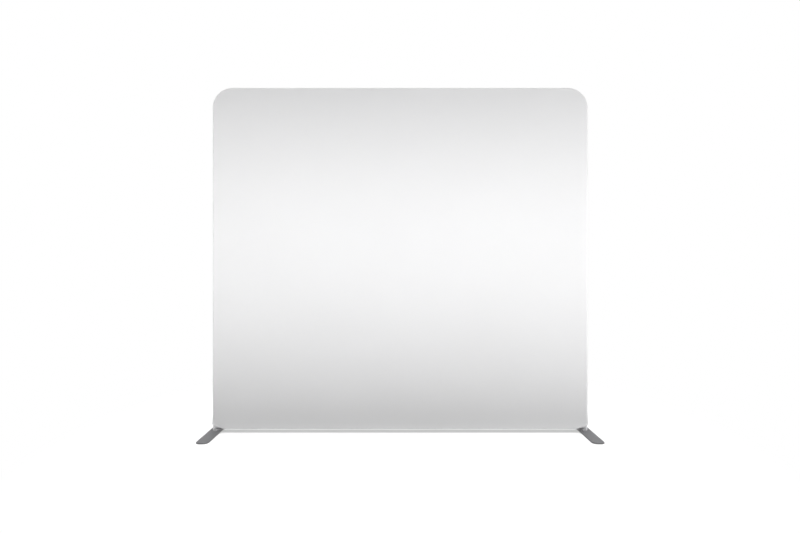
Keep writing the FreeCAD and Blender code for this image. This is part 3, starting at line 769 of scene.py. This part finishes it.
def noise(tree, place, size, detail=GRAIN_DETAIL):
    """Soft grain whose spots are about a size across, from 0 to 1."""
    grain = {"Vector": place, "Scale": 1 / size, "Detail": detail}
    return add_node(tree, "ShaderNodeTexNoise", grain).outputs["Fac"]


def stretched_noise(tree, place, sizes, detail):
    """Soft grain whose spots have a size of their own along each axis, from 0 to 1."""
    in_spots = add_node(tree, "ShaderNodeVectorMath", {0: place, 1: sizes}, operation="DIVIDE")
    return noise(tree, in_spots.outputs["Vector"], 1, detail)


def blend_values(tree, share, first, second):
    """A mean of two values, with a constant share of the second."""
    mixed = add_node(tree, "ShaderNodeMix", {"Factor": share, "A": first, "B": second})
    return mixed.outputs["Result"]


def colour_between(tree, share, colours, shader):
    """Lets the shader's colour go from one colour to another by a pattern."""
    mixed = add_node(tree, "ShaderNodeMix", {"Factor": share}, data_type="RGBA")
    ends = [socket for socket in mixed.inputs if socket.type == "RGBA"]
    for end, colour in zip(ends, colours):
        end.default_value = (*colour, 1)
    result = next(socket for socket in mixed.outputs if socket.type == "RGBA")
    tree.links.new(result, shader.inputs["Base Color"])


def roughness_between(tree, share, values, shader):
    """Lets the shader's roughness go from one value to another by a pattern."""
    low, high = values
    ranges = {"Value": share, "To Min": low, "To Max": high}
    result = add_node(tree, "ShaderNodeMapRange", ranges).outputs["Result"]
    tree.links.new(result, shader.inputs["Roughness"])


def bump(tree, height, depth, strength, shader):
    """Raises the surface by a pattern of a given depth."""
    values = {"Height": height, "Distance": depth, "Strength": strength}
    result = add_node(tree, "ShaderNodeBump", values).outputs["Normal"]
    tree.links.new(result, shader.inputs["Normal"])


def white_fabric():
    """White polyester knit: fine ribs, short fibres and a soft sheen."""
    made, tree, shader = start_material(
        "white_fabric", Sheen_Weight=0.12, Sheen_Roughness=0.45, Specular_IOR_Level=0.25
    )
    place = cloth_place(tree)
    wales = ribs(tree, place, "X", KNIT_WALE)
    courses = ribs(tree, place, "Y", KNIT_COURSE)
    knit = blend_values(tree, COURSE_SHARE, wales, courses)
    fibres = noise(tree, place, FIBRE_SIZE)
    tone = blend_values(tree, TONE_KNIT_SHARE, noise(tree, place, TONE_SIZE, CLOUD_DETAIL), knit)
    colour_between(tree, tone, FABRIC_COLOURS, shader)
    roughness_between(tree, fibres, FABRIC_ROUGHNESS, shader)
    bump(tree, blend_values(tree, FIBRE_SHARE, knit, fibres), KNIT_DEPTH, KNIT_BUMP_SHARE, shader)
    return made


def thread():
    """White polyester sewing thread, with its twist."""
    made, tree, shader = start_material("thread", Sheen_Weight=0.1, Specular_IOR_Level=0.35)
    twist = ribs(tree, cloth_place(tree), "DIAGONAL", THREAD_TWIST)
    colour_between(tree, twist, THREAD_COLOURS, shader)
    roughness_between(tree, twist, THREAD_ROUGHNESS, shader)
    bump(tree, twist, KNIT_DEPTH, TWIST_BUMP_SHARE, shader)
    return made


def tape_weave():
    """White zipper tape in a fine twill."""
    made, tree, shader = start_material("zipper_tape", Sheen_Weight=0.08, Specular_IOR_Level=0.3)
    place = cloth_place(tree)
    twill = ribs(tree, place, "DIAGONAL", TWILL_PERIOD)
    colour_between(tree, twill, TAPE_COLOURS, shader)
    roughness_between(tree, noise(tree, place, FIBRE_SIZE), TAPE_ROUGHNESS, shader)
    bump(tree, twill, KNIT_DEPTH, TWILL_BUMP_SHARE, shader)
    return made


def nylon():
    """White nylon of the zipper coil."""
    made, tree, shader = start_material("nylon", Specular_IOR_Level=0.5)
    cloud = noise(tree, object_place(tree), COIL_PITCH, CLOUD_DETAIL)
    colour_between(tree, cloud, NYLON_COLOURS, shader)
    roughness_between(tree, cloud, NYLON_ROUGHNESS, shader)
    return made


def metal(name, colour, roughness, grains, depth=METAL_DEPTH):
    """Bare metal with a grain that may be longer along one axis, cloudy and unevenly rough."""
    made, tree, shader = start_material(name, Metallic=1.0)
    place = object_place(tree)
    lines = stretched_noise(tree, place, grains, SCRATCH_DETAIL)
    clouds = noise(tree, place, METAL_CLOUD)
    dark = [METAL_DARK_SHARE * part for part in colour]
    colour_between(tree, clouds, (dark, colour), shader)
    ends = (roughness - METAL_ROUGHNESS_SPREAD, roughness + METAL_ROUGHNESS_SPREAD)
    roughness_between(tree, lines, ends, shader)
    bump(tree, lines, depth, METAL_BUMP_SHARE, shader)
    return made


def worn_edges(tree):
    """The edges of a piece, from 0 on its faces to the worn share."""
    soft = add_node(tree, "ShaderNodeBevel", {"Radius": WORN_EDGE}, samples=EDGE_SAMPLES).outputs["Normal"]
    true = add_node(tree, "ShaderNodeNewGeometry").outputs["Normal"]
    alike = add_node(tree, "ShaderNodeVectorMath", {0: soft, 1: true}, operation="DOT_PRODUCT")
    ranges = {"Value": alike.outputs["Value"], "To Max": WORN_SHARE}
    ranges["From Min"], ranges["From Max"] = EDGE_ALIKE_SHARES
    return add_node(tree, "ShaderNodeMapRange", ranges).outputs["Result"]


def foot_paint():
    """Grey powder coat with a fine orange peel, a little paler on worn edges."""
    made, tree, shader = start_material("foot_paint", Specular_IOR_Level=0.25)
    place = object_place(tree)
    grain = noise(tree, place, POWDER_GRAIN, CLOUD_DETAIL)
    scuffs = noise(tree, place, SCUFF_SIZE, SCRATCH_DETAIL)
    worn = reckon(tree, "MULTIPLY", worn_edges(tree), scuffs)
    uneven = blend_values(tree, SCUFF_SHARE, grain, scuffs)
    speckle = blend_values(tree, SPECKLE_FADE_SHARE, uneven, 0.0)
    colour_between(tree, reckon(tree, "ADD", worn, speckle), PAINT_COLOURS, shader)
    roughness_between(tree, scuffs, PAINT_ROUGHNESS, shader)
    bump(tree, grain, POWDER_DEPTH, POWDER_BUMP_SHARE, shader)
    return made


def mix_shaders(tree, share, first, second):
    """A shader that goes from one shader to another by a share."""
    return add_node(tree, "ShaderNodeMixShader", {"Fac": share, 1: first, 2: second}).outputs[0]


def seen_rays(tree):
    """1 for the rays of the camera and of gloss and glass, 0 for the rays that light other things."""
    rays = add_node(tree, "ShaderNodeLightPath").outputs
    seen = reckon(tree, "MAXIMUM", rays["Is Camera Ray"], rays["Is Glossy Ray"])
    return reckon(tree, "MAXIMUM", seen, rays["Is Transmission Ray"])


def floor_bounce(tree, place):
    """The floor as it throws light back: bright right under the wall, dim beside it and pale beyond."""
    forth = add_node(tree, "ShaderNodeSeparateXYZ", {0: place}).outputs["Y"]
    gap = reckon(tree, "ABSOLUTE", forth)
    close = between(tree, gap, FLOOR_CLOSE_REACH, (FLOOR_CLOSE - FLOOR_MIDDLE, 0.0))
    beyond = between(tree, gap, FLOOR_MIDDLE_REACH, (FLOOR_MIDDLE, FLOOR_OPEN))
    bounce = reckon(tree, "ADD", close, beyond)
    return add_node(tree, "ShaderNodeBsdfDiffuse", {"Color": bounce}).outputs[0]


def floor_look(tree, place):
    """The floor as it is seen: pale with a contact shadow near the wall, and plain white far away."""
    contact = add_node(
        tree, "ShaderNodeAmbientOcclusion", {"Distance": CONTACT_REACH}, samples=CONTACT_SAMPLES
    )
    clear = contact.outputs["AO"]
    shade = between(tree, clear, CONTACT_SHARES, FLOOR_SHADES)
    pale = add_node(tree, "ShaderNodeBsdfDiffuse", {"Color": shade}).outputs[0]
    strength = between(tree, clear, CONTACT_SHARES, FLOOR_GLOWS)
    glow = add_node(tree, "ShaderNodeEmission", {"Strength": strength}).outputs[0]
    near_look = add_node(tree, "ShaderNodeAddShader", {0: pale, 1: glow}).outputs[0]
    white = add_node(tree, "ShaderNodeEmission", {"Strength": 1.0}).outputs[0]
    reach = add_node(tree, "ShaderNodeVectorMath", {0: place}, operation="LENGTH").outputs["Value"]
    far = between(tree, reach, (FLOOR_NEAR, FLOOR_FAR), (0.0, 1.0))
    return mix_shaders(tree, far, near_look, white)


def floor_material():
    """A pale floor, which lights the wall in one way and is seen in another."""
    made = bpy.data.materials.new("floor")
    made.use_nodes = True
    tree = made.node_tree
    tree.nodes.clear()
    place = object_place(tree)
    shader = mix_shaders(tree, seen_rays(tree), floor_bounce(tree, place), floor_look(tree, place))
    add_node(tree, "ShaderNodeOutputMaterial", {"Surface": shader})
    return made


def add_floor():
    """A floor under the feet, which isn't part of the wall."""
    mesh = bpy.data.meshes.new("floor")
    half = FLOOR_SIZE / 2
    corners = [(-half, -half, 0), (half, -half, 0), (half, half, 0), (-half, half, 0)]
    mesh.from_pydata(corners, [], [(0, 1, 2, 3)])
    floor = new_object("floor", mesh)
    floor.location.z = -FLOOR_DROP
    floor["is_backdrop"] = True
    mesh.materials.append(floor_material())


def set_world():
    """White where the camera, gloss and glass see it, and an even ambient light elsewhere."""
    world = bpy.data.worlds.new("studio")
    world.use_nodes = True
    tree = world.node_tree
    tree.nodes.clear()
    white = add_node(tree, "ShaderNodeBackground", {"Color": WHITE, "Strength": 1.0}).outputs[0]
    dim = add_node(tree, "ShaderNodeBackground", {"Color": WHITE, "Strength": AMBIENT}).outputs[0]
    mixed = mix_shaders(tree, seen_rays(tree), dim, white)
    add_node(tree, "ShaderNodeOutputWorld", {"Surface": mixed})
    bpy.context.scene.world = world


def add_lamp(name, place, target, size, power):
    """A soft rectangular lamp that the camera doesn't see."""
    lamp = bpy.data.lights.new(name, "AREA")
    lamp.shape = "RECTANGLE"
    lamp.size, lamp.size_y = size
    lamp.energy = power
    made = new_object(name, lamp)
    made.location = place
    aim = Vector(target) - Vector(place)
    made.rotation_euler = aim.to_track_quat("-Z", "Y").to_euler()
    made.visible_camera = False


def add_camera():
    """The photograph's point of view: level, in front of the middle of the wall."""
    data = bpy.data.cameras.new("camera")
    data.lens = CAMERA_LENS
    data.sensor_width = CAMERA_SENSOR
    camera = new_object("camera", data)
    camera.location = CAMERA_PLACE
    camera.rotation_euler = (math.pi / 2, 0, 0)
    bpy.context.scene.camera = camera


add_camera()
add_floor()
set_world()
for lamp in LAMPS:
    add_lamp(**lamp)

fabric = white_fabric()
cover_front = cover_panel("cover_front", "cover_front_panel", front_surface(), -1, fabric)
cover_back = cover_panel("cover_back", "cover_back_panel", back_surface(), 1, fabric)

sewing = thread()
front_trim = []
for side_name, side in SIDES.items():
    front_trim.append(leg_hem(f"{side_name}_leg_hem", side, fabric))
    front_trim.append(hem_stitches(f"{side_name}_hem_stitches", side, sewing))

woven = tape_weave()
coiled = nylon()
front_trim += [
    zipper_tape("lower_zip_tape", "zipper_tape_lower", lower_tape_low, lower_tape_high, woven),
    zipper_coil("lower_zip_coil", "zipper_teeth_lower", lower_teeth_low, lower_teeth_high, 1, coiled),
    zipper_stitches("lower_zip_stitches", ZIP_LOWER_EDGE - STITCH_INSET, sewing),
]
back_trim = [
    zipper_tape("upper_zip_tape", "zipper_tape_upper", upper_tape_low, upper_tape_high, woven),
    zipper_coil("upper_zip_coil", "zipper_teeth_upper", upper_teeth_low, upper_teeth_high, -1, coiled),
    zipper_stitches("upper_zip_stitches", ZIP_UPPER_EDGE + STITCH_INSET, sewing),
    zipper_tacks("zip_end_tacks", sewing),
]

finishes = {name: metal(name, **look) for name, look in METALS.items()}
finishes["foot_paint"] = foot_paint()
for part in frame["record"]["subparts"]:
    node = frame["nodes"][part["node"]]
    low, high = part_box(part["node"])
    tube = "upright_tube" if high.z - low.z > high.x - low.x else "level_tube"
    finish = finishes.get(part["material_slot"], finishes[tube])
    node.data.materials[0] = finish

presses = [joint for joint in frame["joints"] if joint["name"].endswith("_press")]
buttons = {joint["child"]: sum(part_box(joint["child"]), Vector()) / 2 for joint in presses}
for joint in presses:
    spring_clip(joint, buttons, finishes["spring_steel"])

bpy.context.scene.view_settings.view_transform = "Standard"
low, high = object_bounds()
